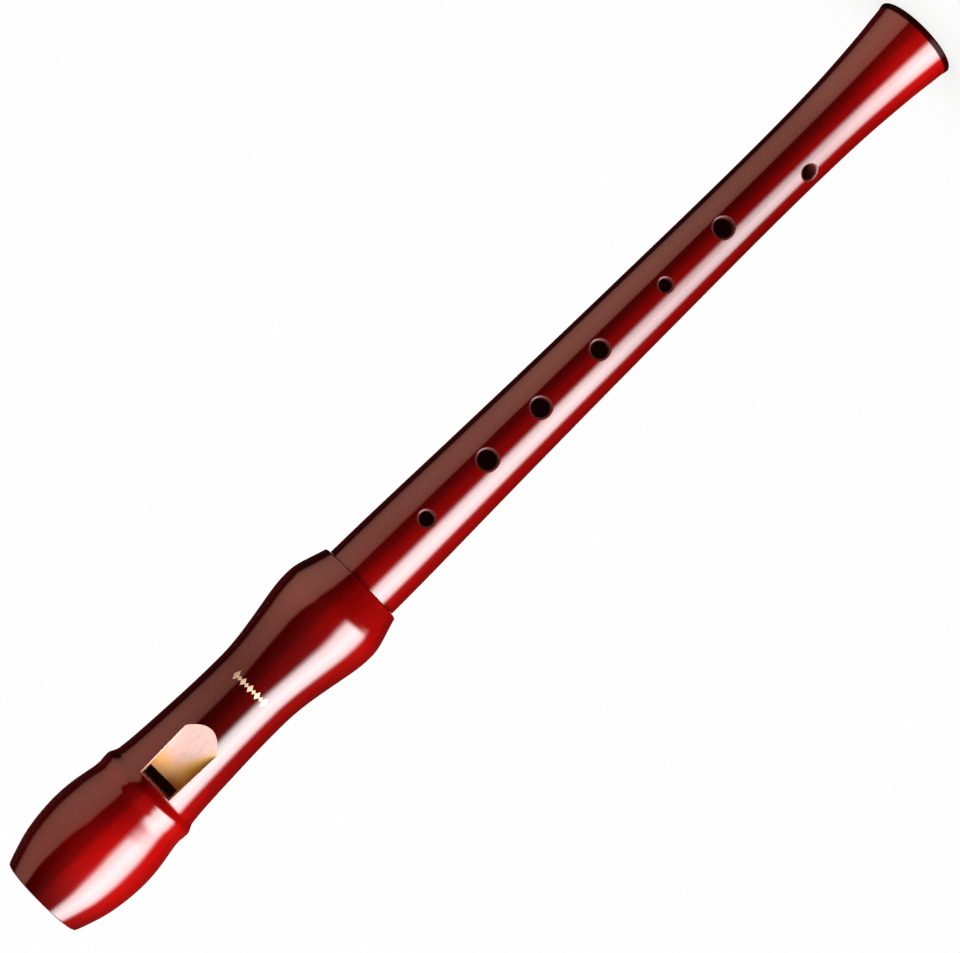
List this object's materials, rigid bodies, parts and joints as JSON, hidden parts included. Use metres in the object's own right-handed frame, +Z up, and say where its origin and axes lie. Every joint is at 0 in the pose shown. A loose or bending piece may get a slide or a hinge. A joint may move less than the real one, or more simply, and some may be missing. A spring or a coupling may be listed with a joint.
{
  "type": "soprano recorder",
  "caption": "Red lacquered wooden soprano recorder: turned head joint with a cedar block, windway and window, on a slim tapering body joint with finger holes, a thumb hole and a flared bell.",
  "frame": {"origin": "centre of the bell end face, on the bore axis", "axes": "+Z up the bore from the bell to the mouthpiece; -Y is the front with the window and finger holes; +Y is the back with the thumb hole; the little-finger hole is turned towards -X"},
  "size_m": [0.0334, 0.0328, 0.33],
  "materials": {
    "lacquered_wood": "translucent glossy red lacquer over fine pear wood",
    "cedar": "bare, straight-grained cedar",
    "cork": "cork, lightly waxed"
  },
  "bodies": {
    "body": {"body_joint": "lacquered_wood"},
    "tenon_ring": {"tenon_cork": "cork"},
    "head": {"head_joint": "lacquered_wood"},
    "fipple_block": {"block": "cedar"}
  },
  "joints": [
    {"name": "head_turn", "type": "hinge", "parent": "body", "child": "tenon_ring", "pos_m": [0, 0, 0.2225], "axis": [0, 0, 1], "continuous": true},
    {"name": "head_pull", "type": "slide", "parent": "tenon_ring", "child": "head", "axis": [0, 0, 1], "range_m": [0, 0.03]},
    {"name": "block_out", "type": "slide", "parent": "head", "child": "fipple_block", "axis": [0, 0, 1], "range_m": [0, 0.05]}
  ]
}
